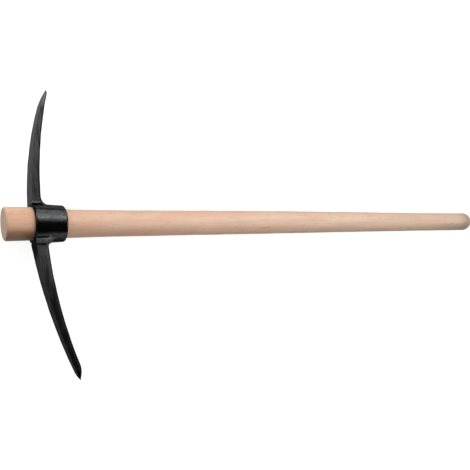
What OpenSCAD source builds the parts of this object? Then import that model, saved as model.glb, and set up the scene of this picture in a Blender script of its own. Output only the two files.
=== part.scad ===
// Pick axe: a forged steel head with a conical eye, on a turned wooden handle.
// The eye slips over the grip end and jams on the taper near the thick end.
// Frame: origin at the centre of the thick end's face, +X along the handle towards
// the grip end, +Y towards the chisel arm, +Z up. Millimetres.

/* [Handle] */
// Overall length of the handle
handle_len = 900; // [700:5:1000]
// Diameter at the thick end
butt_d = 58.7; // [57.5:0.1:66]
// Rounding of the thick end's rim
butt_round = 4; // [1:0.5:8]
// Distance from the thick end to the start of the seat taper
seat_start_x = 39; // [30:1:45]
// Diameter where the seat taper starts
seat_start_d = 57.2; // [55:0.1:57.5]
// Distance from the thick end to the end of the seat taper
seat_end_x = 111; // [107:1:130]
// Diameter where the seat taper ends
seat_end_d = 49.2; // [47:0.1:50]
// Distance from the thick end to the end of the neck
neck_x = 175; // [150:5:220]
// Diameter at the end of the neck
neck_d = 46.4; // [45:0.1:47]
// Distance from the thick end to the upper swell of the shaft
swell_x = 300; // [260:5:340]
// Diameter at the upper swell
swell_d = 44; // [42.5:0.1:44.8]
// Distance from the thick end to the middle of the shaft
mid_x = 450; // [400:5:500]
// Diameter at the middle of the shaft
mid_d = 41.9; // [39:0.1:42.4]
// Distance from the thick end to the start of the grip
grip_x = 690; // [640:5:720]
// Diameter at the start of the grip
grip_d = 35.4; // [34:0.1:38]
// Distance from the thick end to the slim part of the grip
slim_x = 770; // [740:5:820]
// Diameter at the slim part of the grip
slim_d = 33.4; // [32:0.1:34]
// Diameter where the rounded grip end starts
grip_end_d = 31.6; // [28:0.1:32]

/* [Eye] */
// Distance from the thick end to the eye's wide rim
rim_x = 47; // [45:0.5:50]
// Length of the eye along the handle
eye_len = 56.5; // [50:0.5:58]
// Wall thickness of the eye
eye_wall = 6; // [4.5:0.1:7]
// Edge rounding at the grip side of the eye
eye_round = 3.25; // [2:0.25:5]
// Edge rounding at the eye's wide rim
rim_round = 2; // [1:0.25:2.5]
// Radial gap between the eye and the seat taper
seat_gap = 0.05; // [0.02:0.01:0.1]

/* [Chisel arm] */
// Distance from the eye's axis to the cutting edge
chisel_len = 244; // [200:1:260]
// Position of the outer face at the eye's axis
chisel_outer_x = 46.9; // [46:0.1:49]
// Sweep radius of the outer face
chisel_outer_r = 688; // [650:1:800]
// Position of the inner face at its sweep centre's level
chisel_inner_x = 63.4; // [61:0.1:65]
// Sweep radius of the inner face
chisel_inner_r = 794; // [770:1:900]
// Level of the inner face's sweep centre
chisel_inner_y = 19.6; // [10:0.1:25]
// Depth of the arm at its root
chisel_root_w = 33; // [28:0.5:36]
// Depth of the blade at the cutting edge
chisel_edge_w = 40; // [36:0.5:50]
// Length of the bevel ground on the outer face
chisel_bevel = 15; // [8:0.5:25]
// Length of the bevel ground on the inner face
chisel_inner_bevel = 8; // [5:0.5:20]
// Place of the cutting edge between the outer and the inner face
chisel_edge_at = 0.4; // [0:0.05:1]
// Thickness left at the cutting edge
chisel_edge_t = 0.9; // [0.5:0.1:1.5]
// Radius of the bowed cutting edge
chisel_bow_r = 130; // [60:1:200]
// Corner radius of the blade
chisel_corner_r = 4; // [2:0.5:9]
// Fillet from the chisel arm to the eye
chisel_fillet = 12.5; // [8:0.5:18]
// Distance from the eye's axis to the edge of the chisel arm's shoulder
chisel_pad_y = 33; // [32:0.5:38]
// Length of the slope from that shoulder down to the arm's face
chisel_pad_slope = 10; // [2:0.5:14]

/* [Point arm] */
// Distance from the eye's axis to the point
point_len = 277.5; // [240:0.5:300]
// Position of the point along the handle
point_tip_x = 103.7; // [102:0.1:106]
// Position of the outer face at its sweep centre's level
point_outer_x = 45.1; // [44:0.1:47]
// Sweep radius of the outer face
point_outer_r = 918; // [900:1:960]
// Level of the outer face's sweep centre
point_outer_y = 39.2; // [36:0.1:42]
// Position of the inner face at its sweep centre's level
point_inner_x = 68.4; // [66:0.1:70]
// Sweep radius of the inner face
point_inner_r = 822; // [800:1:860]
// Level of the inner face's sweep centre, below the eye's axis
point_inner_y = 12.8; // [8:0.1:16]
// Depth of the arm at its root
point_root_w = 31; // [27:0.5:34]
// Depth of the arm where the point starts
point_end_w = 11; // [9:0.5:14]
// Length of the point's outer facet
point_outer_facet = 8.5; // [6:0.5:14]
// Length of the point's inner facet
point_inner_facet = 15; // [10:0.5:30]
// Length of the point's side facets
point_facet = 20; // [9:0.5:26]
// Flat left on the point
point_flat = 1; // [0.5:0.1:2]
// Fillet from the point arm to the eye
point_fillet = 15; // [6:0.5:17]
// Distance from the eye's axis to the edge of the point arm's shoulder
point_pad_y = 36; // [33:0.5:42]
// Length of the slope from that shoulder down to the arm's face
point_pad_slope = 5.5; // [2:0.5:10]

/* [Shoulders] */
// Height of the shoulders over the arms' faces
pad_step = 1.2; // [0.5:0.1:1.5]

/* [Hidden] */
$fn = 96;
steel_color = [0.09, 0.09, 0.1];
wood_color = [0.8, 0.62, 0.46];
// slope of the seat's radius along the handle, shared by the wood, the bore and the eye's outside
seat_slope = (seat_start_d - seat_end_d) / 2 / (seat_end_x - seat_start_x);
function seat_r(x) = seat_start_d / 2 - seat_slope * (x - seat_start_x);
function bore_r(x) = seat_r(x) + seat_gap;
function eye_r(x) = bore_r(x) + eye_wall;
eye_end_x = rim_x + eye_len;
slant = sqrt(1 + seat_slope * seat_slope);
// how far a rounding or a ground face passes the face it blends into, so that the two cross cleanly
cross_over = 0.02;
// centres of the roundings between the eye's outside and its ends
end_round_x = eye_end_x - eye_round + cross_over;
end_round_r = eye_r(end_round_x) - (eye_round - cross_over) * slant;
rim_round_x = rim_x + rim_round - cross_over;
rim_round_r = eye_r(rim_round_x) - (rim_round - cross_over) * slant;
// rounded grip end
dome_r = grip_end_d / 2;
dome_x = handle_len - dome_r;
// centre of the rounding between the thick end's face and its sloping side
butt_slope = (butt_d - seat_start_d) / 2 / seat_start_x;
function butt_r(x) = butt_d / 2 - butt_slope * x;
butt_round_x = butt_round - cross_over;
butt_round_r = butt_r(butt_round_x) - butt_round_x * sqrt(1 + butt_slope * butt_slope);
// sweep centres
chisel_outer_c = [chisel_outer_x + chisel_outer_r, 0];
chisel_inner_c = [chisel_inner_x + chisel_inner_r, chisel_inner_y];
point_outer_c = [point_outer_x + point_outer_r, point_outer_y];
point_inner_c = [point_inner_x + point_inner_r, -point_inner_y];
// position of a swept face at a level y
function swept_x(c, r, y) = c[0] - sqrt(r * r - (y - c[1]) * (y - c[1]));
function chisel_out(y) = swept_x(chisel_outer_c, chisel_outer_r, y);
function chisel_in(y) = swept_x(chisel_inner_c, chisel_inner_r, y);
function point_out(y) = swept_x(point_outer_c, point_outer_r, y);
function point_in(y) = swept_x(point_inner_c, point_inner_r, y);
// overlap of each fillet into the faces it joins, so that the faces cross instead of only touching
fillet_bite = 0.25;
// rounds of stepping that settle a centre between two faces
steps = 6;
// centre of a fillet at a level above the eye, found by stepping between the two faces it joins
function fillet_y(f, x) = eye_r(x) + (f - fillet_bite) * slant;
function chisel_fillet_x(n, x) = n == 0 ? x
    : chisel_fillet_x(n - 1, chisel_in(fillet_y(chisel_fillet, x)) + chisel_fillet - fillet_bite);
function point_fillet_x(n, x) = n == 0 ? x
    : point_fillet_x(n - 1, point_in(-fillet_y(point_fillet, x)) + point_fillet - fillet_bite);
chisel_fx = chisel_fillet_x(steps, chisel_inner_x + chisel_fillet);
chisel_fy = fillet_y(chisel_fillet, chisel_fx);
point_fx = point_fillet_x(steps, point_inner_x + point_fillet);
point_fy = fillet_y(point_fillet, point_fx);
// levels where the slopes from the shoulders end
chisel_face_y = chisel_pad_y + chisel_pad_slope;
point_face_y = point_pad_y + point_pad_slope;
// half depth of the chisel arm at a level y
chisel_w_slope = (chisel_edge_w - chisel_root_w) / 2 / (chisel_len - chisel_face_y);
function chisel_h(y) = chisel_root_w / 2 + chisel_w_slope * (y - chisel_face_y);
chisel_slant = sqrt(1 + chisel_w_slope * chisel_w_slope);
// centre of the rounding between the blade's side and its bowed edge
corner_reach = chisel_corner_r - cross_over;
bow_y = chisel_len - chisel_bow_r;
function corner_z(y) = chisel_h(y) - corner_reach * chisel_slant;
function corner_y(n, y) = n == 0 ? y
    : corner_y(n - 1, bow_y + sqrt(pow(chisel_bow_r - corner_reach, 2) - pow(corner_z(y), 2)));
corner_cy = corner_y(steps, chisel_len - chisel_corner_r);
corner_cz = corner_z(corner_cy);
// a place past the bowed edge, in line with the bow's and the rounding's centres
past_y = bow_y + 2 * (corner_cy - bow_y);
past_z = 2 * corner_cz;
edge_mid_x = chisel_out(chisel_len) * (1 - chisel_edge_at) + chisel_in(chisel_len) * chisel_edge_at;
// long enough to pass through the head in any direction
through = 2 * eye_end_x;
// stock left inside the bore's wall, which the bore cuts away
bore_stock = eye_wall / 3;
// how far the bore's cutter and the arms' outlines reach past the eye
cutter_room = eye_len / 3;
// level inside the bore where the arms' outlines start
arm_start_y = bore_r(eye_end_x) / 2;
// levels where the ground faces start
chisel_bevel_y = chisel_len - chisel_bevel;
chisel_inner_bevel_y = chisel_len - chisel_inner_bevel;
point_outer_facet_y = point_outer_facet - point_len;
point_inner_facet_y = point_inner_facet - point_len;
// how far the flares reach into the arms
flare_depth = (chisel_inner_x - chisel_outer_x) / 2;

// turns a profile drawn as radius against distance along the handle into a solid round the X axis
module along_x() {
    rotate([0, 90, 0]) rotate_extrude() children();
}

// solid from a side outline in the XY plane, cut through the whole depth
module side_cut() {
    translate([0, 0, -through / 2]) linear_extrude(height = through) children();
}

// solid from a depth outline drawn as Y against Z, cut through along X
module depth_cut() {
    rotate([90, 0, 90]) linear_extrude(height = through) children();
}

module handle_profile() {
    intersection() {
        union() {
            polygon([
                [0, 0],
                [butt_round_r, 0],
                [butt_round_r, butt_round_x],
                [butt_r(butt_round_x), butt_round_x],
                [seat_start_d / 2, seat_start_x],
                [seat_end_d / 2, seat_end_x],
                [neck_d / 2, neck_x],
                [swell_d / 2, swell_x],
                [mid_d / 2, mid_x],
                [grip_d / 2, grip_x],
                [slim_d / 2, slim_x],
                [dome_r - cross_over, dome_x],
                [0, dome_x]
            ]);
            translate([butt_round_r, butt_round_x]) circle(r = butt_round);
            translate([0, dome_x]) circle(r = dome_r);
        }
        square([butt_d, handle_len]);
    }
}

module eye_profile() {
    intersection() {
        union() {
            polygon([
                [bore_r(rim_x) - bore_stock, rim_x],
                [rim_round_r, rim_x],
                [rim_round_r, rim_round_x],
                [eye_r(rim_round_x), rim_round_x],
                [eye_r(end_round_x), end_round_x],
                [end_round_r, end_round_x],
                [end_round_r, eye_end_x],
                [bore_r(eye_end_x) - bore_stock, eye_end_x]
            ]);
            translate([rim_round_r, rim_round_x]) circle(r = rim_round);
            translate([end_round_r, end_round_x]) circle(r = eye_round);
        }
        translate([0, rim_x]) square([through, eye_len]);
    }
}

// flare between the eye's outside and an arm's inner face, hollowed by the fillet's circle
module flare_profile(face_x, fx, fy, f) {
    difference() {
        polygon([
            [bore_r(fx), face_x - flare_depth],
            [bore_r(fx), fx],
            [fy, fx],
            [fy, face_x - flare_depth]
        ]);
        translate([fy, fx]) circle(r = f);
    }
}

module chisel_side() {
    intersection() {
        difference() {
            translate(chisel_outer_c) circle(r = chisel_outer_r, $fn = 360);
            translate(chisel_inner_c) circle(r = chisel_inner_r, $fn = 360);
        }
        polygon([
            [rim_x - cutter_room, arm_start_y],
            [through, arm_start_y],
            [through, chisel_inner_bevel_y],
            [chisel_in(chisel_inner_bevel_y) + cross_over, chisel_inner_bevel_y],
            [edge_mid_x + chisel_edge_t / 2, chisel_len],
            [edge_mid_x - chisel_edge_t / 2, chisel_len],
            [chisel_out(chisel_bevel_y) - cross_over, chisel_bevel_y],
            [rim_x - cutter_room, chisel_bevel_y]
        ]);
    }
}

module chisel_depth() {
    intersection() {
        polygon([
            [0, -chisel_root_w / 2 - pad_step],
            [chisel_pad_y, -chisel_root_w / 2 - pad_step],
            [chisel_face_y, -chisel_root_w / 2],
            [corner_cy, -chisel_h(corner_cy)],
            [corner_cy, -corner_cz],
            [past_y, -past_z],
            [past_y, past_z],
            [corner_cy, corner_cz],
            [corner_cy, chisel_h(corner_cy)],
            [chisel_face_y, chisel_root_w / 2],
            [chisel_pad_y, chisel_root_w / 2 + pad_step],
            [0, chisel_root_w / 2 + pad_step]
        ]);
        translate([bow_y, 0]) union() {
            circle(r = chisel_bow_r);
            translate([-chisel_len, -through / 2]) square([chisel_len, through]);
        }
    }
    for (side = [-1, 1]) translate([corner_cy, side * corner_cz]) circle(r = chisel_corner_r);
}

module point_side() {
    intersection() {
        difference() {
            translate(point_outer_c) circle(r = point_outer_r, $fn = 360);
            translate(point_inner_c) circle(r = point_inner_r, $fn = 360);
        }
        polygon([
            [rim_x - cutter_room, -arm_start_y],
            [through, -arm_start_y],
            [through, point_inner_facet_y],
            [point_in(point_inner_facet_y) + cross_over, point_inner_facet_y],
            [point_tip_x + point_flat / 2, -point_len],
            [point_tip_x - point_flat / 2, -point_len],
            [point_out(point_outer_facet_y) - cross_over, point_outer_facet_y],
            [rim_x - cutter_room, point_outer_facet_y]
        ]);
    }
}

module point_depth() {
    polygon([
        [0, -point_root_w / 2 - pad_step],
        [-point_pad_y, -point_root_w / 2 - pad_step],
        [-point_face_y, -point_root_w / 2],
        [point_facet - point_len, -point_end_w / 2],
        [-point_len, -point_flat / 2],
        [-point_len, point_flat / 2],
        [point_facet - point_len, point_end_w / 2],
        [-point_face_y, point_root_w / 2],
        [-point_pad_y, point_root_w / 2 + pad_step],
        [0, point_root_w / 2 + pad_step]
    ]);
}

module chisel_arm() {
    intersection() {
        depth_cut() chisel_depth();
        union() {
            side_cut() chisel_side();
            along_x() flare_profile(chisel_inner_x, chisel_fx, chisel_fy, chisel_fillet);
        }
    }
}

module point_arm() {
    intersection() {
        depth_cut() point_depth();
        union() {
            side_cut() point_side();
            along_x() flare_profile(point_inner_x, point_fx, point_fy, point_fillet);
        }
    }
}

module eye_bore() {
    along_x() polygon([
        [0, rim_x - cutter_room],
        [bore_r(rim_x - cutter_room), rim_x - cutter_room],
        [bore_r(eye_end_x + cutter_room), eye_end_x + cutter_room],
        [0, eye_end_x + cutter_room]
    ]);
}

// turned handle, thick end at the origin
module handle() {
    color(wood_color) along_x() handle_profile();
}

// forged head, seated on the taper
module pick_head() {
    color(steel_color) difference() {
        union() {
            along_x() eye_profile();
            chisel_arm();
            point_arm();
        }
        eye_bore();
    }
}

handle();
pick_head();
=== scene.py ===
import math
import bpy
import numpy as np
from mathutils import Matrix, Vector


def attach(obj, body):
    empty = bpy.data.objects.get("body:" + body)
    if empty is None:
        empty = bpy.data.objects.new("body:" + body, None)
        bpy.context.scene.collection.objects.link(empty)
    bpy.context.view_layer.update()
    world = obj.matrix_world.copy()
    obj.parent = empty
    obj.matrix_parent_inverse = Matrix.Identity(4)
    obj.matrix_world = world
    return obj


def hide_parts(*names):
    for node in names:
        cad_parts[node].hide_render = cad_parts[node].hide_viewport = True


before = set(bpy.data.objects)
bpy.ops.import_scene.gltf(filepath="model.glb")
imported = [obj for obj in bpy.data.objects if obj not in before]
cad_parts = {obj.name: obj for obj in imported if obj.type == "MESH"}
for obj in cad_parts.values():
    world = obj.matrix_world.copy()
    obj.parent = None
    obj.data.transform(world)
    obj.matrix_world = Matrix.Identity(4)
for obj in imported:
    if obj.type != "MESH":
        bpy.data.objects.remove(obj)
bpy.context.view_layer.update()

mm = 0.001  # shapes are given in millimetres; meshes, finishes, lamps and camera are in metres
print("frame loaded:", ", ".join(sorted(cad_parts)))


# Curves that more than one piece uses

def smoothStep(start, end, value):
    # 0 before start, 1 after end, and the cubic 3 t^2 - 2 t^3 between them
    t = np.clip((value - start) / (end - start), 0.0, 1.0)
    return t * t * (3.0 - 2.0 * t)


def between(first, last, share):
    # straight mix: the first value at share 0 and the last one at share 1
    return first + (last - first) * share


def softHinge(offset, reach):
    # 0 before -reach, the offset itself after +reach, and the parabola that touches both between them
    bend = (offset + reach) ** 2 / (4.0 * reach)
    return np.where(offset < -reach, 0.0, np.where(offset > reach, offset, bend))


def arcPoints(centre, radius, startTurn, endTurn, steps):
    # steps + 1 points on a circle, from one angle in degrees to the other
    turn = np.radians(np.linspace(startTurn, endTurn, steps + 1))
    return np.stack([centre[0] + radius * np.cos(turn), centre[1] + radius * np.sin(turn)], axis=-1)


def linePoints(start, end, steps):
    # the points strictly between two corners, evenly spaced
    part = np.linspace(0.0, 1.0, steps + 1)[1:-1, None]
    return (1.0 - part) * np.array(start) + part * np.array(end)


def swellOf(point, waves):
    # slow unevenness of a hand finished surface: crossed sine waves of the place, from -1 to 1
    phase = point @ np.array(waves).T * 2.0 * np.pi
    return np.sin(phase + np.arange(len(waves)) * 1.7).mean(axis=-1)


# Grids of points into meshes

def skinMesh(name, grid, looped=False):
    # grid[row, column] holds points, and the columns go once round the piece. Neighbours are joined by
    # quads. A looped grid joins its last row to its first, and any other has both its ends closed by
    # strips from column k to column -k.
    rows, columns = grid.shape[:2]
    index = np.arange(rows * columns).reshape(rows, columns)
    band = np.vstack([index, index[:1]]) if looped else index
    after = np.roll(band, -1, axis=1)
    quads = [np.stack([band[:-1], after[:-1], after[1:], band[1:]], axis=-1).reshape(-1, 4)]
    corners = []
    if not looped:
        half = columns // 2
        k = np.arange(1, half - 1)
        for ring in (index[0, ::-1], index[-1]):
            ring = np.roll(ring, 1) if ring[0] > ring[1] else ring
            quads.append(np.stack([ring[k], ring[k + 1], ring[columns - k - 1], ring[columns - k]], axis=-1))
            corners.append(ring[[0, 1, columns - 1]])
            corners.append(ring[[half - 1, half, half + 1]])
    quads = np.concatenate(quads)
    points = grid.reshape(-1, 3)
    a, b, c, d = (points[quads[:, n]] for n in range(4))
    volume = (np.cross(c - a, d - b) * (a + b + c + d)).sum()  # 24 times the enclosed volume
    faces = quads.tolist() + [corner.tolist() for corner in corners]
    if volume < 0.0:
        faces = [face[::-1] for face in faces]
    mesh = bpy.data.meshes.new(name)
    mesh.from_pydata((points * mm).tolist(), [], faces)
    mesh.update()
    return mesh


def turnedGrid(profile, around):
    # a profile of (x, radius) turned about the X axis: x, radius times cosine, radius times sine
    turn = np.linspace(0.0, 2.0 * np.pi, around, endpoint=False)
    x = np.broadcast_to(profile[:, :1], (len(profile), around))
    radius = profile[:, 1:]
    return np.stack([x, radius * np.cos(turn), radius * np.sin(turn)], axis=-1)


def gridNormals(grid):
    # unit normals of a grid whose columns go round: the cross product of its two directions
    along = np.gradient(grid, axis=0)
    around = np.roll(grid, -1, axis=1) - np.roll(grid, 1, axis=1)
    normal = np.cross(around, along)
    return normal / np.maximum(np.linalg.norm(normal, axis=-1, keepdims=True), 1e-9)


def addPiece(name, mesh, material, body, node):
    piece = bpy.data.objects.new(name, mesh)
    bpy.context.scene.collection.objects.link(piece)
    mesh.materials.clear()
    mesh.materials.append(material)
    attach(piece, body)
    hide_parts(node)
    print(name, len(mesh.vertices), "points,", len(mesh.polygons), "faces")
    return piece


# Shader expressions

class Value:
    # one output socket; sums, products and powers of values add Math nodes
    def __init__(self, finish, socket):
        self.finish = finish
        self.socket = socket

    def other(self, name):
        return Value(self.finish, self.socket.node.outputs[name])

    def math(self, operation, first, second=0.0):
        return self.finish.node("ShaderNodeMath", {"operation": operation}, {0: first, 1: second})

    def __add__(self, other):
        return self.math("ADD", self, other)

    def __radd__(self, other):
        return self.math("ADD", other, self)

    def __sub__(self, other):
        return self.math("SUBTRACT", self, other)

    def __rsub__(self, other):
        return self.math("SUBTRACT", other, self)

    def __mul__(self, other):
        return self.math("MULTIPLY", self, other)

    def __rmul__(self, other):
        return self.math("MULTIPLY", other, self)

    def __truediv__(self, other):
        return self.math("DIVIDE", self, other)

    def __pow__(self, other):
        return self.math("POWER", self, other)

    def clamp(self):
        return self.math("MINIMUM", self.math("MAXIMUM", self, 0.0), 1.0)

    def fraction(self):
        return self.math("FRACT", self)

    def rise(self, start, end):
        # smooth step of this value from start to end
        sockets = {"Value": self, "From Min": start, "From Max": end}
        return self.finish.node("ShaderNodeMapRange", {"interpolation_type": "SMOOTHSTEP"}, sockets)


class Finish:
    # one material or world: node() adds any node, and the named methods are the ones that are used often
    def __init__(self, owner, shader="Principled BSDF"):
        owner.use_nodes = True
        self.owner = owner
        self.tree = owner.node_tree
        self.shader = self.tree.nodes[shader]

    def node(self, kind, settings=None, sockets=None, output=0):
        made = self.tree.nodes.new(kind)
        for key, value in (settings or {}).items():
            setattr(made, key, value)
        for key, value in (sockets or {}).items():
            self.feed(made.inputs[key], value)
        return Value(self, made.outputs[output])

    def feed(self, socket, value):
        if isinstance(value, Value):
            self.tree.links.new(value.socket, socket)
        else:
            socket.default_value = value

    def set(self, **sockets):
        for key, value in sockets.items():
            self.feed(self.shader.inputs[key.replace("_", " ")], value)

    def place(self):
        return self.node("ShaderNodeTexCoord", output="Object")

    def axes(self, place):
        first = self.node("ShaderNodeSeparateXYZ", {}, {0: place})
        return first, first.other("Y"), first.other("Z")

    def noise(self, place, factors, detail, roughness):
        # the factors are its waves per metre along X, Y and Z
        stretched = self.node("ShaderNodeVectorMath", {"operation": "MULTIPLY"}, {0: place, 1: factors})
        sockets = {"Vector": stretched, "Scale": 1.0, "Detail": detail, "Roughness": roughness}
        return self.node("ShaderNodeTexNoise", {}, sockets)

    def blend(self, factor, first, second, kind="MIX"):
        settings = {"data_type": "RGBA", "blend_type": kind}
        return self.node("ShaderNodeMix", settings, {0: factor, 6: first, 7: second}, output=2)

    def seen(self):
        # 1 for what the camera sees, itself or mirrored, and 0 for what lights the object
        path = self.node("ShaderNodeLightPath", output="Is Camera Ray")
        return (path + path.other("Is Glossy Ray") + path.other("Is Transmission Ray")).clamp()

    def bump(self, height, distance, strength):
        sockets = {"Height": height, "Distance": distance, "Strength": strength}
        self.set(Normal=self.node("ShaderNodeBump", {}, sockets))


def shade(red, green, blue):
    return (red, green, blue, 1.0)


# Wood

wood = {
    "paleHead": shade(0.81, 0.54, 0.387), "deepHead": shade(0.68, 0.423, 0.287),
    "paleGrip": shade(0.83, 0.605, 0.46), "deepGrip": shade(0.715, 0.50, 0.363),
    # painted light on the stub's top; next row: painted shade under the stub and on the grip end
    "stubTone": shade(0.95, 0.84, 0.79), "stubTopLightTone": shade(1.14, 1.26, 1.30),
    "stubShadeTone": shade(0.27, 0.28, 0.19), "gripEndShadeTone": shade(0.60, 0.61, 0.61),
    "rosy": shade(0.735, 0.423, 0.30), "fleckTone": shade(0.52, 0.27, 0.16),
    "endPale": shade(0.76, 0.55, 0.43), "endDeep": shade(0.60, 0.41, 0.315),
    # noises: waves per metre along X, Y and Z, detail and roughness
    "drift": ((2.2, 24.0, 24.0), 3.0, 0.55),
    "cloud": ((15.0, 70.0, 70.0), 3.0, 0.55),
    "streak": ((8.0, 190.0, 190.0), 3.0, 0.55),
    "fibre": ((26.0, 900.0, 900.0), 4.0, 0.62),
    "blush": ((6.0, 38.0, 38.0), 3.0, 0.6),
    "ray": ((95.0, 330.0, 330.0), 2.0, 0.5),
    "fleck": ((230.0, 2100.0, 2100.0), 2.0, 0.5),
    "sawnGrain": ((60.0, 420.0, 420.0), 4.0, 0.6),
    # levels of a noise between which its marks come up
    "blushRise": (0.48, 0.66), "rayRise": (0.58, 0.70), "fleckRise": (0.63, 0.70),
    "rayWeight": 0.38, "fleckWeight": 0.25,
    # where a tone fades in, in metres along the handle, or from its axis towards one of the arms
    # some of these place the stub's painted light and shade and the grip end's painted shade
    "gripAlong": (0.10, 0.60), "stubAlong": (0.040, 0.052), "stubShadeAlong": (0.018, 0.036),
    "stubToChisel": (0.008, 0.026), "stubToPoint": (0.014, 0.028),
    "ballAlong": (0.862, 0.897), "gripUnderShadeAlong": (0.80, 0.88), "gripUnderShadeToPoint": (0.003, 0.013),
    "sawnDepth": (0.0006, 0.0022),
    "pith": (0.010, -0.085),   # where the tree's middle was, across the handle, in metres
    "ringStep": 0.0034, "ringWander": 0.0045,
    "roughness": 0.46, "refraction": 1.42,
    "bumpHeight": 0.00012, "bumpStrength": 0.6,
}


def woodFinish():
    finish = Finish(bpy.data.materials.new("sandedBeech"))
    place = finish.place()
    x, y, z = finish.axes(place)
    drift = finish.noise(place, *wood["drift"])
    cloud = finish.noise(place, *wood["cloud"])
    streak = finish.noise(place, *wood["streak"])
    fibre = finish.noise(place, *wood["fibre"])
    blush = finish.noise(place, *wood["blush"]).rise(*wood["blushRise"])
    ray = finish.noise(place, *wood["ray"]).rise(*wood["rayRise"])
    fleck = finish.noise(place, *wood["fleck"]).rise(*wood["fleckRise"])
    # distance from the pith gives the rings, each one light first and dark at its outer edge
    pithY, pithZ = wood["pith"]
    fromPith = ((y - pithY) ** 2.0 + (z - pithZ) ** 2.0) ** 0.5
    ring = ((fromPith + wood["ringWander"] * drift) / wood["ringStep"]).fraction()
    late = ring ** 3.0
    tone = (0.9 * drift + 1.2 * cloud + 1.2 * streak + 0.5 * fibre + 0.14 * late - 1.42).clamp()
    grip = x.rise(*wood["gripAlong"])
    pale = finish.blend(grip, wood["paleHead"], wood["paleGrip"])
    deep = finish.blend(grip, wood["deepHead"], wood["deepGrip"])
    colour = finish.blend(tone, pale, deep)
    colour = finish.blend(blush * (0.75 - 0.4 * grip), colour, wood["rosy"])
    marks = ray * wood["rayWeight"] + fleck * wood["fleckWeight"]
    colour = finish.blend(marks, colour, wood["fleckTone"])
    # the stub before the head is redder, with painted light and sheen on its top towards the chisel arm
    # and painted shade under it towards the point arm
    toPoint = 0.0 - y
    stub = 1.0 - x.rise(*wood["stubAlong"])
    stubTone = finish.blend(y.rise(*wood["stubToChisel"]), wood["stubTone"], wood["stubTopLightTone"])
    colour = finish.blend(stub, colour, stubTone, "MULTIPLY")
    stubShade = stub * toPoint.rise(*wood["stubToPoint"]) * (0.78 + 0.22 * x.rise(*wood["stubShadeAlong"]))
    colour = finish.blend(stubShade, colour, wood["stubShadeTone"], "MULTIPLY")
    # painted shade: the rounded grip end darkens, and so does the side before it towards the point arm
    gripUnderShade = x.rise(*wood["gripUnderShadeAlong"]) * toPoint.rise(*wood["gripUnderShadeToPoint"])
    ball = (x.rise(*wood["ballAlong"]) + 0.7 * gripUnderShade).clamp()
    colour = finish.blend(ball, colour, wood["gripEndShadeTone"], "MULTIPLY")
    # sawn face of the thick end, which leans: rings show as arcs and the cut fibres are duller
    leanY, leanZ = handle["endLean"]
    behindCut = x + leanY * y + leanZ * z + handle["endShift"] * mm
    sawn = 1.0 - behindCut.rise(*wood["sawnDepth"])
    sawnGrain = finish.noise(place, *wood["sawnGrain"])
    endTone = (0.55 * late + 0.7 * sawnGrain - 0.1).clamp()
    colour = finish.blend(sawn, colour, finish.blend(endTone, wood["endPale"], wood["endDeep"]))
    roughness = wood["roughness"] + 0.16 * fibre + 0.2 * sawn
    finish.set(Base_Color=colour, Roughness=roughness, IOR=wood["refraction"])
    finish.bump(fibre + 0.4 * streak - 0.5 * fleck, wood["bumpHeight"], wood["bumpStrength"])
    return finish.owner


# Black lacquered steel

steel = {
    "black": shade(0.012, 0.012, 0.012), "grey": shade(0.050, 0.051, 0.051),
    "eyeBlack": shade(0.030, 0.030, 0.031), "eyeGrey": shade(0.078, 0.079, 0.081),
    "worn": shade(0.060, 0.061, 0.062), "ground": shade(0.130, 0.132, 0.135),
    # painted sheen and painted shade, which the tint attribute lays on
    "paintedSheen": shade(0.140, 0.143, 0.147), "paintedShade": shade(0.002, 0.002, 0.002),
    "edgeShine": shade(0.40, 0.40, 0.40),   # grazing reflections of the lacquer, against bare metal
    # noises: waves per metre along X, Y and Z, detail and roughness
    "scale": ((70.0, 70.0, 70.0), 4.0, 0.55),
    "blotch": ((150.0, 260.0, 260.0), 3.0, 0.6),
    "peel": ((430.0, 430.0, 430.0), 3.0, 0.55),
    "drawn": ((420.0, 9.0, 420.0), 4.0, 0.62),
    "eyeRoughness": 0.17, "armRoughness": 0.27,
    "eyeSkin": (0.0348, 0.0385),   # distance from the handle's axis where the eye's smooth skin ends
    "bevel": (0.206, 0.222),       # where the ground edge begins, in metres from the axis
    "wearRise": (0.35, 0.95), "wearWeight": 0.5,
    "bumpHeight": 0.0006, "bumpStrength": 0.4,
}


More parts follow.
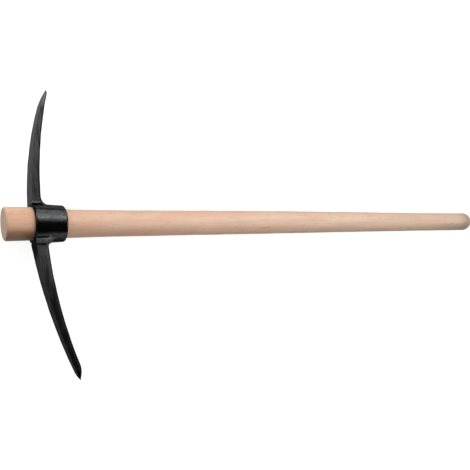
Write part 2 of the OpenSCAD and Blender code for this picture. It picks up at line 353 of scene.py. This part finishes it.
def steelFinish():
    finish = Finish(bpy.data.materials.new("blackLacquer"))
    place = finish.place()
    x, y, z = finish.axes(place)
    scale = finish.noise(place, *steel["scale"])
    blotch = finish.noise(place, *steel["blotch"])
    peel = finish.noise(place, *steel["peel"])
    drawn = finish.noise(place, *steel["drawn"])
    edge = finish.node("ShaderNodeAttribute", {"attribute_name": "edge"}, output="Fac")
    tint = finish.node("ShaderNodeAttribute", {"attribute_name": "tint"}, output="Fac")
    fromAxis = (y ** 2.0 + z ** 2.0) ** 0.5
    arm = fromAxis.rise(*steel["eyeSkin"])
    # the arms carry forge scale drawn out lengthwise, the eye is smoother and shinier
    armTone = (2.6 * drawn + 0.6 * scale - 1.15).clamp()
    armColour = finish.blend(armTone, steel["black"], steel["grey"])
    eyeTone = (2.2 * blotch + 2.0 * peel - 1.6).clamp()
    eyeColour = finish.blend(eyeTone, steel["eyeBlack"], steel["eyeGrey"])
    colour = finish.blend(arm, eyeColour, armColour)
    # the tint attribute: painted sheen where positive, painted shade where negative
    colour = finish.blend((tint * (0.6 + 0.8 * drawn)).clamp(), colour, steel["paintedSheen"])
    colour = finish.blend((0.0 - tint).clamp(), colour, steel["paintedShade"])
    ground = y.rise(*steel["bevel"])
    colour = finish.blend(ground * (0.45 + 0.5 * drawn), colour, steel["ground"])
    wear = (edge * (scale + 0.35)).rise(*steel["wearRise"])
    colour = finish.blend(wear * arm * steel["wearWeight"], colour, steel["worn"])
    skin = between(steel["eyeRoughness"], steel["armRoughness"], arm)
    roughness = skin + 0.14 * drawn * arm + 0.10 * blotch + 0.06 * ground
    finish.set(Base_Color=colour, Roughness=roughness, Metallic=1.0, Specular_Tint=steel["edgeShine"])
    height = 0.5 * scale + 0.3 * drawn * arm + 0.25 * blotch + 0.30 * peel
    finish.bump(height, steel["bumpHeight"], steel["bumpStrength"])
    return finish.owner


# Handle: a turned shaft, thick where the head jams and slim at the grip

handle = {
    # distance from the thick end, diameter there, and how far the corner at it is softened
    "stations": [(0.0, 58.7, 0.0), (39.0, 57.2, 6.0), (111.0, 49.2, 6.5), (175.0, 46.4, 30.0),
                 (300.0, 44.0, 60.0), (450.0, 41.9, 70.0), (690.0, 35.4, 60.0), (770.0, 33.4, 35.0),
                 (882.4, 31.6, 0.0)],
    "buttRound": 4.0,
    "endShift": 2.0,             # how far the sawn thick end stands out at its middle
    "endLean": (0.018, 0.080),   # and how far it leans out of square, per mm across in Y and Z
    "bow": 0.7,                  # the shaft's slight bend towards the chisel arm
    "seat": (36.0, 116.0),       # the stretch that the eye bears on stays true
    "unevenness": 0.16,
    "sandFade": (40.0, 30.0),    # the unevenness comes in after the seat and ends before the half ball
    "waves": [(0.0061, 0.013, 0.004), (0.0107, -0.006, 0.012), (0.0183, 0.009, -0.011)],
    "around": 144,
    "faceRings": 12, "rimSteps": 8, "shaftRings": 300, "ballSteps": 22,
    "poleRadius": 0.5, "poleTurn": 2.0,   # the last ring at each end, in mm and in degrees
    "sharpTurn": 50.0,
}


def shaftRadius(x):
    # straight tapers between the stations, each change of slope eased by a soft hinge
    at, across, reach = np.array(handle["stations"]).T
    slope = 0.5 * np.diff(across) / np.diff(at)
    radius = 0.5 * across[0] + slope[0] * x
    for n in range(1, len(slope)):
        radius = radius + (slope[n] - slope[n - 1]) * softHinge(x - at[n], reach[n])
    return radius


def handleGrid():
    # a profile of (x, radius) turned about the X axis: face, rounded rim, shaft and half ball
    domeX, domeAcross, _ = handle["stations"][-1]
    rim = handle["buttRound"]
    face = shaftRadius(0.0) - rim
    faceRadius = np.linspace(handle["poleRadius"], face, handle["faceRings"] + 1)[:-1]
    faceRings = np.stack([0.0 * faceRadius, faceRadius], axis=-1)
    rimArc = arcPoints((rim, shaftRadius(rim) - rim), rim, 180.0, 90.0, handle["rimSteps"])
    shaftX = np.linspace(rim, domeX, handle["shaftRings"])[1:-1]
    shaft = np.stack([shaftX, shaftRadius(shaftX)], axis=-1)
    ball = arcPoints((domeX, 0.0), 0.5 * domeAcross, 90.0, handle["poleTurn"], handle["ballSteps"])
    grid = turnedGrid(np.concatenate([faceRings, rimArc, shaft, ball]), handle["around"])
    x = grid[..., 0].copy()
    # hand sanding leaves the shaft a little out of true, but not where the eye bears on it
    seatStart, seatEnd = handle["seat"]
    fadeIn, fadeOut = handle["sandFade"]
    free = smoothStep(seatEnd, seatEnd + fadeIn, x) * (1.0 - smoothStep(domeX - fadeOut, domeX, x))
    outward = turnedGrid(np.array([[0.0, 1.0]]), handle["around"])
    grid = grid + outward * (handle["unevenness"] * free * swellOf(grid, handle["waves"]))[..., None]
    # a squared sine from the seat to the grip end bends the shaft
    along = np.clip((x - seatEnd) / (domeX - seatEnd), 0.0, 1.0)
    grid[..., 1] += handle["bow"] * np.sin(np.pi * along) ** 2
    # the thick end was sawn by hand, so its face leans; the lean fades out before the seat
    leanY, leanZ = handle["endLean"]
    lean = handle["endShift"] + leanY * grid[..., 1] + leanZ * grid[..., 2]
    grid[..., 0] -= lean * (1.0 - smoothStep(0.0, seatStart, x))
    return grid


def makeHandle(material):
    mesh = skinMesh("handle_turned", handleGrid())
    mesh.shade_smooth()
    mesh.set_sharp_from_angle(angle=math.radians(handle["sharpTurn"]))
    return addPiece("turned_handle", mesh, material, "handle", "handle")


# Head: a conical eye with a chisel arm and a point arm, forged in one

eye = {
    "rimX": 47.0, "length": 57.0, "wall": 6.4, "gap": 0.05,
    "endRound": 3.25, "rimRound": 2.0, "mouthRound": 0.6,
    "sink": 2.6,           # how far below the eye's skin the arms' shells end
    "endTilt": 0.025,      # how far the grip end leans out of square towards the point arm
    "rimSet": 1.6,         # how far the rim is set back under the point arm
    "endFade": 14.0, "rimFade": 12.0,   # how far along the eye the lean and the set back reach
    # painted shade on the eye's sides towards the point and the chisel arm
    "underTint": 0.6, "overTint": 0.6,
    "around": 144,
    "rimSteps": 8, "skinSteps": 26, "endSteps": 10, "faceSteps": 4, "mouthSteps": 4, "boreSteps": 20,
}

chiselArm = {
    "towards": 1.0,
    "tip": 244.8,
    "outerX": 46.6, "outerRadius": 688.0, "outerLevel": 0.0,
    "innerX": 64.3, "innerRadius": 794.0, "innerLevel": 19.6,
    "rootDepth": 33.0, "endDepth": 40.0,
    "rootLevel": 35.0,
    "outerFacet": 15.0, "innerFacet": 8.0, "sideFacet": 0.0,
    "tipThick": 0.9, "tipAt": 0.45,
    "bowRadius": 130.0, "bladeCorner": 8.0, "innerSoft": 0.7,
    "fillet": 12.5, "outerRound": 0.8, "innerRound": 3.6,
    "lipLevel": 36.4, "lipRise": 1.25, "lipRamp": 10.0,
    "recessLevel": 36.4, "recess": 1.3, "recessWidth": 1.6,
    # painted light (above 0) or painted shade (below 0) in each place
    "stripTint": 0.42, "stripEndTint": 0.42, "rootTint": 0.42, "lipTint": 0.3,
    "outerTint": 0.0, "outerEndTint": 0.0, "innerTint": -0.45, "innerEndTint": -0.2,
}

pointArm = {
    "towards": -1.0,
    "tip": 277.5,
    "outerX": 44.8, "outerRadius": 918.0, "outerLevel": -39.2,
    "innerX": 69.6, "innerRadius": 806.0, "innerLevel": 12.8,
    "rootDepth": 31.0, "endDepth": 11.0,
    "rootLevel": 41.0,
    "outerFacet": 8.0, "innerFacet": 18.0, "sideFacet": 14.0,
    "tipThick": 1.0, "tipAt": 0.17, "tipDepth": 1.0,
    "bowRadius": 0.0, "bladeCorner": 0.0, "innerSoft": 9.0,
    "fillet": 17.0, "outerRound": 0.8, "innerRound": 5.0,
    "lipLevel": 43.6, "lipRise": 1.1, "lipRamp": 3.4,
    "recessLevel": 36.0, "recess": 1.1, "recessWidth": 1.4,
    # painted light (above 0) or painted shade (below 0) in each place
    "stripTint": 0.12, "stripEndTint": 0.04, "rootTint": -1.0, "lipTint": 0.0,
    "outerTint": 0.06, "outerEndTint": -0.72, "innerTint": 0.22, "innerEndTint": 0.1,
}

forging = {
    "ridgeSoft": 0.7,            # softening of the ridges where ground faces begin
    "filletOut": 0.6, "filletDown": 0.25,   # how far the root's fillet is set into arm and eye
    "facetMargin": 3.0,          # the finer rows begin this far before the longest facet
    "roundShare": 0.47,          # largest corner radius, as a share of the section
    "scoopEdge": (0.35, 0.8),    # where the recess ends on a face, 0 in its middle and 1 at the inner corner
    "hug": (52.0, 96.0),         # levels between which the rows stop bending round the eye
    "bowReach": (45.0, 12.0),    # distances from the edge between which the rows take up its bow
    "unevenness": 0.2,
    "hammerStart": (46.0, 62.0), "hammerEnd": (-4.0, 6.0),   # levels from the axis, and from the ground end
    "waves": [(0.021, 0.012, 0.016), (-0.016, 0.027, 0.011), (0.009, -0.037, 0.022)],
    "rows": (46, 112, 56, 7),    # on the fillet, the arm, the facets and the nose
    "sinkRows": (1.0, 0.4),      # the two rows under the eye's skin, as shares of the sink
    "filletTurn": 87.0, "noseTurn": 12.0,
    "ringSteps": (9, 6, 14),     # on a quarter's face, corner and side
    "edgeBend": 0.45,            # curvature per mm that counts as a full edge
    "sharpTurn": 38.0,
}


def eyeSkin(x):
    # outer radius of the eye: the handle's seat taper, plus the gap and the wall
    at, across, _ = np.array(handle["stations"][1:3]).T
    return 0.5 * np.interp(x, at, across) + eye["gap"] + eye["wall"]


def armFaces(arm, level):
    # positions of the outer and the inner face at a level, each on an arc of its own
    outer = arm["outerRadius"] - np.sqrt(arm["outerRadius"] ** 2 - (level - arm["outerLevel"]) ** 2)
    inner = arm["innerRadius"] - np.sqrt(arm["innerRadius"] ** 2 - (level - arm["innerLevel"]) ** 2)
    return arm["outerX"] + outer, arm["innerX"] + inner


def eyeMesh():
    # closed profile turned about X: rounded rim, cone, rounded end and the conical bore back to the rim
    start = eye["rimX"]
    end = start + eye["length"]
    skin = eyeSkin(np.array([start, end]))
    bore = skin - eye["wall"]
    rimRound = eye["rimRound"]
    endRound = eye["endRound"]
    mouth = eye["mouthRound"]
    rimArc = arcPoints((start + rimRound, skin[0] - rimRound), rimRound, 180.0, 90.0, eye["rimSteps"])
    endArc = arcPoints((end - endRound, skin[1] - endRound), endRound, 90.0, 0.0, eye["endSteps"])
    endMouth = arcPoints((end - mouth, bore[1] + mouth), mouth, 0.0, -90.0, eye["mouthSteps"])
    rimMouth = arcPoints((start + mouth, bore[0] + mouth), mouth, -90.0, -180.0, eye["mouthSteps"])
    profile = np.concatenate([
        rimArc, linePoints(rimArc[-1], endArc[0], eye["skinSteps"]),
        endArc, linePoints(endArc[-1], endMouth[0], eye["faceSteps"]),
        endMouth, linePoints(endMouth[-1], rimMouth[0], eye["boreSteps"]),
        rimMouth, linePoints(rimMouth[-1], rimArc[0], eye["faceSteps"])])
    grid = turnedGrid(profile, eye["around"])
    x = grid[..., 0].copy()
    # both ends were cut by hand: the grip end leans, and the rim is cut back on the point arm's side
    low = np.clip(-grid[..., 1] / skin[0], 0.0, 1.0) ** 2
    grid[..., 0] += eye["rimSet"] * low * (1.0 - smoothStep(start, start + eye["rimFade"], x))
    grid[..., 0] -= eye["endTilt"] * grid[..., 1] * smoothStep(end - eye["endFade"], end, x)
    return skinMesh("eye", grid, looped=True)


def sectionRing(faceSteps, cornerSteps, sideSteps):
    # a rounded rectangle once round, as weights of its half thickness, half depth and corner radius.
    # One quarter goes from the middle of the upper face over a corner to the middle of the inner face.
    turn = np.linspace(0.5 * np.pi, 0.0, cornerSteps + 1)
    face = np.linspace(0.0, 1.0, faceSteps + 1)[:-1]
    side = np.linspace(1.0, 0.0, sideSteps + 1)[1:]
    across = np.concatenate([face, np.ones(cornerSteps + 1 + sideSteps)])
    up = np.concatenate([np.ones(faceSteps + cornerSteps + 1), side])
    cornerAcross = np.concatenate([np.zeros(faceSteps), np.cos(turn), np.ones(sideSteps)])
    cornerUp = np.concatenate([np.ones(faceSteps), np.sin(turn), np.zeros(sideSteps)])
    quarter = np.stack([across, up, cornerAcross, cornerUp])
    below = quarter[:, ::-1][:, 1:] * np.array([[1.0], [-1.0], [1.0], [-1.0]])
    half = np.concatenate([quarter, below], axis=1)
    outer = half[:, ::-1][:, 1:-1] * np.array([[-1.0], [1.0], [-1.0], [1.0]])
    return np.concatenate([half, outer], axis=1)


def armGrid(arm):
    # A rounded rectangle carried outwards from the eye. Its outer and inner faces follow two arcs, its
    # depth tapers, and ramps that start at the facets bring all three down to the edge or point.
    tip = arm["tip"]
    fillet = arm["fillet"]
    ridgeSoft = forging["ridgeSoft"]
    filletX = arm["innerX"] + forging["filletOut"] + fillet
    filletLevel = eyeSkin(filletX) + fillet - forging["filletDown"]
    nose = 0.5 * arm["tipThick"]
    facet = max(arm["outerFacet"], arm["innerFacet"], arm["sideFacet"]) + forging["facetMargin"]
    filletRows, armRows, facetRows, noseRows = forging["rows"]
    filletTurn = np.radians(np.linspace(forging["filletTurn"], 0.0, filletRows))
    noseTurn = np.radians(np.linspace(90.0, forging["noseTurn"], noseRows)[1:])
    level = np.concatenate([
        eyeSkin(filletX) - eye["sink"] * np.array(forging["sinkRows"]),
        filletLevel - fillet * np.sin(filletTurn),
        np.linspace(filletLevel, tip - facet, armRows)[1:],
        np.linspace(tip - facet, tip - nose, facetRows)[1:],
        tip - nose * (1.0 - np.cos(noseTurn))])[:, None]

    # half depth: taper, lip at the root, side facet and rounded blade corners at the end
    taper = 0.5 * (arm["endDepth"] - arm["rootDepth"]) / (tip - arm["sideFacet"] - arm["rootLevel"])
    depth = 0.5 * arm["rootDepth"] + taper * np.maximum(level - arm["rootLevel"], 0.0)
    lip = arm["lipLevel"]
    depth = depth + arm["lipRise"] * (1.0 - smoothStep(lip, lip + arm["lipRamp"], level))
    if arm["sideFacet"]:
        loss = 0.5 * (arm["endDepth"] - arm["tipDepth"]) / arm["sideFacet"]
        depth = depth - (loss + taper) * softHinge(level - tip + arm["sideFacet"], ridgeSoft)
    if arm["bladeCorner"]:
        corner = arm["bladeCorner"]
        left = np.clip(corner - (tip - level), 0.0, corner)
        depth = depth - corner + np.sqrt(corner ** 2 - left ** 2)

    # the ramps of the facets, and the flare of the fillet into the eye
    outerTip, innerTip = armFaces(arm, tip)
    tipMiddle = between(outerTip, innerTip, arm["tipAt"])
    outerLoss = tipMiddle - nose - outerTip
    innerLoss = innerTip - tipMiddle - nose
    outerRamp = outerLoss * softHinge(level - tip + arm["outerFacet"], ridgeSoft) / arm["outerFacet"]
    innerRamp = innerLoss * softHinge(level - tip + arm["innerFacet"], arm["innerSoft"]) / arm["innerFacet"]
    outer, inner = armFaces(arm, level)
    under = np.clip(filletLevel - level, 0.0, 0.9995 * fillet)
    flare = np.maximum(filletX - np.sqrt(fillet ** 2 - under ** 2) - inner, 0.0)

    # the ring's rounding shrinks with the section, and the last rows close in on a rounded nose
    noseShare = np.clip((level - tip + nose) / nose, 0.0, 0.999)
    closing = np.sqrt(1.0 - noseShare ** 2)
    across, up, cornerAcross, cornerUp = sectionRing(*forging["ringSteps"])
    thick = inner - outer - outerRamp - innerRamp
    rounding = np.where(across > 0.0, arm["innerRound"], arm["outerRound"])
    rounding = np.minimum(rounding, forging["roundShare"] * np.minimum(thick, 2.0 * depth)) * closing
    # below the lip the faces are scooped out, but not the rim of the fillet
    scooped = smoothStep(arm["recessLevel"], arm["recessLevel"] - arm["recessWidth"], level)
    scoop = (arm["lipRise"] + arm["recess"]) * scooped
    depth = depth - scoop * (1.0 - smoothStep(*forging["scoopEdge"], across))
    z = up * (depth - rounding) + rounding * cornerUp

    # rows bend round the eye at the root, and follow the bowed edge at the blade
    hug = 1.0 - smoothStep(*forging["hug"], level)
    place = level - hug * (level - np.sqrt(level ** 2 - z ** 2))
    if arm["bowRadius"]:
        bow = arm["bowRadius"] - np.sqrt(arm["bowRadius"] ** 2 - z ** 2)
        bowStart, bowFull = forging["bowReach"]
        place = place - bow * smoothStep(tip - bowStart, tip - bowFull, level)
    low, high = armFaces(arm, place)
    low = low + outerRamp
    high = high + flare - innerRamp
    half = 0.5 * (high - low) * closing
    x = 0.5 * (low + high) + across * (half - rounding) + rounding * cornerAcross
    grid = np.stack([x, place, z], axis=-1)
    # hammer work leaves the faces slightly uneven, away from the eye and the ground end
    ground = smoothStep(*forging["hammerEnd"], level - tip + facet)
    free = smoothStep(*forging["hammerStart"], level) * (1.0 - ground)
    swell = forging["unevenness"] * free * swellOf(grid, forging["waves"])
    grid = grid + gridNormals(grid) * swell[..., None]
    return grid * np.array([1.0, arm["towards"], 1.0])


def forgedTogether(name, meshes):
    # exact unions of closed shells, applied one after the other
    scene = bpy.context.scene
    shells = [bpy.data.objects.new(name + "_shell", mesh) for mesh in meshes]
    for shell in shells:
        scene.collection.objects.link(shell)
    for shell in shells[1:]:
        union = shells[0].modifiers.new("union", "BOOLEAN")
        union.operation = "UNION"
        union.solver = "EXACT"
        union.object = shell
    graph = bpy.context.evaluated_depsgraph_get()
    joined = bpy.data.meshes.new_from_object(shells[0].evaluated_get(graph))
    joined.name = name
    for shell in shells:
        bpy.data.objects.remove(shell)
    return joined


def pointsAndNormals(mesh):
    # places in millimetres and unit normals of all points
    points = np.empty(len(mesh.vertices) * 3)
    normals = np.empty(len(mesh.vertices) * 3)
    mesh.vertices.foreach_get("co", points)
    mesh.vertex_normals.foreach_get("vector", normals)
    return points.reshape(-1, 3) / mm, normals.reshape(-1, 3)


def keepAttribute(mesh, name, values):
    layer = mesh.attributes.new(name, "FLOAT", "POINT")
    layer.data.foreach_set("value", values.astype(np.float32))


def markEdges(mesh):
    # point attribute "edge": how far a point stands out over its neighbours, as curvature per mm
    points, normals = pointsAndNormals(mesh)
    ends = np.empty(len(mesh.edges) * 2, dtype=np.int64)
    mesh.edges.foreach_get("vertices", ends)
    near, far = ends.reshape(-1, 2).T
    span = points[far] - points[near]
    reach = np.maximum((span ** 2).sum(axis=1), 0.01)
    bend = np.zeros(len(points))
    number = np.zeros(len(points))
    np.add.at(bend, near, -(span * normals[near]).sum(axis=1) / reach)
    np.add.at(bend, far, (span * normals[far]).sum(axis=1) / reach)
    np.add.at(number, near, 1.0)
    np.add.at(number, far, 1.0)
    standing = 2.0 * bend / np.maximum(number, 1.0) / forging["edgeBend"]
    keepAttribute(mesh, "edge", np.clip(standing, 0.0, 1.0))


# masks for the painted light and shade of the tint attribute
lightAndShadeMasks = {
    "strip": (0.5, 0.85),        # how far a normal leans against X, from the sides to the outer face
    "across": (0.5, 0.95),       # parts of the way from an arm's outer to its inner edge
    "along": (70.0, 155.0),      # levels between which the values at the root turn into those at the end
    "root": (49.0, 66.0),        # levels between which the root's own value on the strip ends
    "lipFoot": (-0.3, 0.4), "lipTop": (1.2, 3.0), "recess": (-0.5, 0.2),   # distances past the recess
    "recessEdge": (0.75, 1.05),  # parts of the way across an arm between which the recess ends
    "offEye": (0.1, 0.6), "onEye": (0.2, 0.8),   # distances from the eye's skin
    "under": (0.68, 0.96), "over": (0.86, 0.99),   # how far a normal leans to the point or chisel arm
}


def markTint(mesh):
    # point attribute "tint", painted light above 0 and painted shade below 0: each arm's values, eased from
    # its root to its end, and from its outer to its inner edge. The strip is the outer face, which a normal
    # against X tells from the sides.
    points, normals = pointsAndNormals(mesh)
    x, y, z = points.T
    fromAxis = np.hypot(y, z)
    fromSkin = fromAxis - eyeSkin(x)
    strip = smoothStep(*lightAndShadeMasks["strip"], -normals[:, 0])
    tint = np.zeros(len(points))
    for arm in (chiselArm, pointArm):
        level = np.clip(arm["towards"] * y, 0.0, arm["tip"])
        outer, inner = armFaces(arm, level)
        part = (x - outer) / (inner - outer)
        along = smoothStep(*lightAndShadeMasks["along"], level)
        outerTint = between(arm["outerTint"], arm["outerEndTint"], along)
        innerTint = between(arm["innerTint"], arm["innerEndTint"], along)
        stripTint = between(arm["stripTint"], arm["stripEndTint"], along)
        stripTint = between(stripTint, arm["rootTint"], 1.0 - smoothStep(*lightAndShadeMasks["root"], level))
        faceTint = between(outerTint, innerTint, smoothStep(*lightAndShadeMasks["across"], part))
        # the lip gets a painted highlight and the recess below it painted shade
        above = fromAxis - arm["recessLevel"]
        lipped = smoothStep(*lightAndShadeMasks["lipFoot"], above) * (1.0 - smoothStep(*lightAndShadeMasks["lipTop"], above))
        recessed = 1.0 - smoothStep(*lightAndShadeMasks["recess"], above)
        recessed = recessed * (1.0 - smoothStep(*lightAndShadeMasks["recessEdge"], part))
        faceTint = faceTint + arm["lipTint"] * lipped - recessed
        mine = smoothStep(*lightAndShadeMasks["offEye"], fromSkin) * (level > 0.0)
        tint = tint + mine * between(faceTint, stripTint, strip)
    # the eye's rim and its sides towards both arms get painted shade too
    onEye = 1.0 - smoothStep(*lightAndShadeMasks["onEye"], fromSkin)
    under = eye["underTint"] * smoothStep(*lightAndShadeMasks["under"], -normals[:, 1])
    over = eye["overTint"] * smoothStep(*lightAndShadeMasks["over"], normals[:, 1])
    tint = tint - onEye * np.maximum(strip, np.maximum(under, over))
    keepAttribute(mesh, "tint", np.clip(tint, -1.0, 1.0))


def makeHead(material):
    arms = [skinMesh("arm", armGrid(arm)) for arm in (chiselArm, pointArm)]
    mesh = forgedTogether("head_forged", [eyeMesh()] + arms)
    mesh.shade_smooth()
    mesh.set_sharp_from_angle(angle=math.radians(forging["sharpTurn"]))
    markEdges(mesh)
    markTint(mesh)
    return addPiece("forged_head", mesh, material, "head", "pick_head")


# Stage: floor under the resting pick, light and camera

stage = {
    "floorHalf": 150.0,
    "floorColour": shade(0.30, 0.30, 0.30), "floorRoughness": 0.9,
    "floorGlow": shade(0.90, 0.90, 0.90),
    "worldColour": shade(1.0, 1.0, 1.0), "worldStrength": 0.02,
    "hazeHeight": (0.03, 0.09),   # sines of the angles above the horizon where the pale rim fades out
}

lamps = {
    # name: place, point that it faces, size, power in watts, and whether it lights matt surfaces, is
    # mirrored in shiny ones, or both
    "keyBox": ((0.51, 0.77, 0.80), (0.10, 0.0, 0.0), (1.0, 1.1), 6.2, "mirrored"),
    "keySoft": ((0.40, 0.77, 0.80), (0.10, 0.0, 0.0), (1.0, 1.1), 3.9, "matt"),
    "keyEdge": ((0.51, 0.35, 1.05), (0.10, 0.0, 0.0), (1.0, 0.4), 2.45, "both"),
    "endBox": ((-0.55, 0.50, 0.62), (0.0, 0.0, 0.0), (0.4, 0.4), 3.6, "both"),
    "endFill": ((-1.70, 0.35, 0.75), (0.0, 0.0, 0.0), (0.8, 0.8), 7.8, "both"),
    "rightBox": ((2.85, -0.75, 1.38), (0.30, 0.0, 0.0), (1.6, 1.6), 24.0, "both"),
    "lowCard": ((0.72, -0.60, 0.08), (0.55, 0.0, 0.0), (0.95, 0.14), 0.22, "mirrored"),
    "underCard": ((0.24, -0.50, 0.06), (0.22, 0.0, 0.0), (0.35, 0.20), 0.22, "matt"),
    "shaftBox": ((0.60, -0.15, 0.76), (0.52, 0.0, 0.0), (1.1, 0.5), 3.7, "matt"),
}

viewer = {
    "yaw": 22.0,            # how far the handle is turned away from the picture plane, in degrees
    "roll": 20.0,           # how far the head is rolled about the handle
    "spin": -8.2265,        # turn of the picture
    "distance": 3.0,
    "target": (0.41726, -0.02313, 0.0),
    "focal": 1687.2,        # in pixels of the 470 pixel wide picture
    "picture": 470.0,
    "sensor": 36.0,
}


def makeFloor(pieces):
    # a level square under the lowest point, which is on the eye, so that the head clears it at any slide
    lowest = min(pointsAndNormals(piece.data)[0][:, 2].min() for piece in pieces) * mm
    reach = stage["floorHalf"]
    points = [(u * reach, v * reach, lowest) for u, v in ((-1, -1), (1, -1), (1, 1), (-1, 1))]
    mesh = bpy.data.meshes.new("floor")
    mesh.from_pydata(points, [], [(0, 1, 2, 3)])
    floor = bpy.data.objects.new("floor", mesh)
    bpy.context.scene.collection.objects.link(floor)
    finish = Finish(bpy.data.materials.new("paleFloor"))
    finish.set(Base_Color=stage["floorColour"], Roughness=stage["floorRoughness"], Specular_IOR_Level=0.0)
    glow = finish.blend(finish.seen(), shade(0.0, 0.0, 0.0), stage["floorGlow"])
    finish.set(Emission_Color=glow, Emission_Strength=1.0)
    mesh.materials.append(finish.owner)
    print("floor at", round(lowest / mm, 2), "mm")


def makeLight():
    for name, (place, faces, size, power, kind) in lamps.items():
        data = bpy.data.lights.new(name, "AREA")
        data.shape = "RECTANGLE"
        data.size, data.size_y = size
        data.energy = power
        lamp = bpy.data.objects.new(name, data)
        lamp.location = place
        lamp.rotation_euler = (Vector(faces) - Vector(place)).to_track_quat("-Z", "Y").to_euler()
        lamp.visible_camera = False
        lamp.visible_glossy = kind != "matt"
        lamp.visible_diffuse = kind != "mirrored"
        bpy.context.scene.collection.objects.link(lamp)
    # above the floor's far edge the world goes on as pale as the floor, and is dark higher up
    sky = Finish(bpy.data.worlds.new("softStudio"), "Background")
    height = sky.axes(sky.node("ShaderNodeTexCoord", output="Generated"))[2]
    haze = (1.0 - height.rise(*stage["hazeHeight"])) * stage["floorGlow"][0]
    sky.set(Color=stage["worldColour"], Strength=stage["worldStrength"] + haze * sky.seen())
    bpy.context.scene.world = sky.owner


def makeCamera():
    yaw, roll, spin = (math.radians(viewer[key]) for key in ("yaw", "roll", "spin"))
    back = Vector((-math.sin(yaw), -math.cos(yaw) * math.sin(roll), math.cos(yaw) * math.cos(roll)))
    right = (-back).cross(Vector((0.0, 1.0, 0.0))).normalized()
    up = back.cross(right)
    turned = math.cos(spin) * right + math.sin(spin) * up
    up = back.cross(turned)
    data = bpy.data.cameras.new("viewer")
    data.sensor_width = viewer["sensor"]
    data.lens = viewer["focal"] * viewer["sensor"] / viewer["picture"]
    camera = bpy.data.objects.new("viewer", data)
    axes = Matrix((turned, up, back)).transposed().to_4x4()
    camera.matrix_world = Matrix.Translation(Vector(viewer["target"]) + viewer["distance"] * back) @ axes
    bpy.context.scene.collection.objects.link(camera)
    bpy.context.scene.camera = camera


pieces = [makeHandle(woodFinish()), makeHead(steelFinish())]
makeFloor(pieces)
makeLight()
makeCamera()
bpy.context.scene.view_settings.view_transform = "Standard"
print("stage set")
